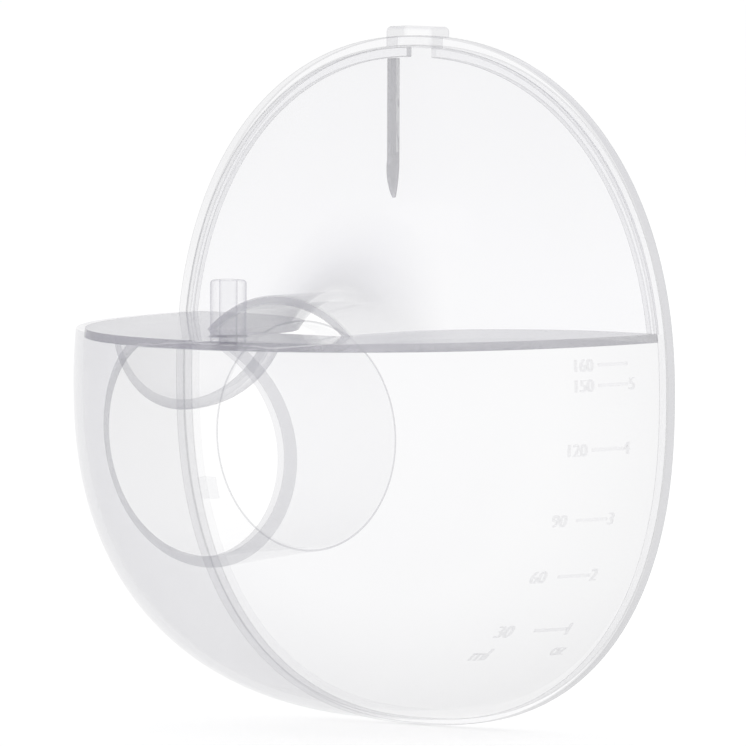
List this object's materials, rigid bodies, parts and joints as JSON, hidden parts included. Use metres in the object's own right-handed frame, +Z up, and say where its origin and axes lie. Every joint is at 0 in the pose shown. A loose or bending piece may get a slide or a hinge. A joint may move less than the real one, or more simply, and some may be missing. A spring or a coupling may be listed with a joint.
{
  "type": "breast pump milk collector cup",
  "caption": "Clear collector cup of a wearable breast pump: a deep bowl under a flat deck, an arched wall above, a round tunnel with a hood, and an air post.",
  "frame": {"origin": "middle of the underside of the box that holds the cup", "axes": "+X to the wearer's left, -Y out of the front of the bowl, +Y through the open back, +Z up; the deck is level and the tunnel runs along Y"},
  "size_m": [0.1116, 0.0708, 0.1237],
  "materials": {
    "clear_plastic": "gloss"
  },
  "bodies": {
    "root": {"front_bowl": "clear_plastic", "deck": "clear_plastic", "rim_band": "clear_plastic", "ledge_left": "clear_plastic", "ledge_right": "clear_plastic", "upper_wall": "clear_plastic", "tunnel_hood": "clear_plastic", "tunnel_tube": "clear_plastic", "air_pocket": "clear_plastic", "air_post": "clear_plastic", "top_tab": "clear_plastic", "guide_rib": "clear_plastic", "locating_lug": "clear_plastic", "scale_lines": "clear_plastic"}
  },
  "joints": []
}
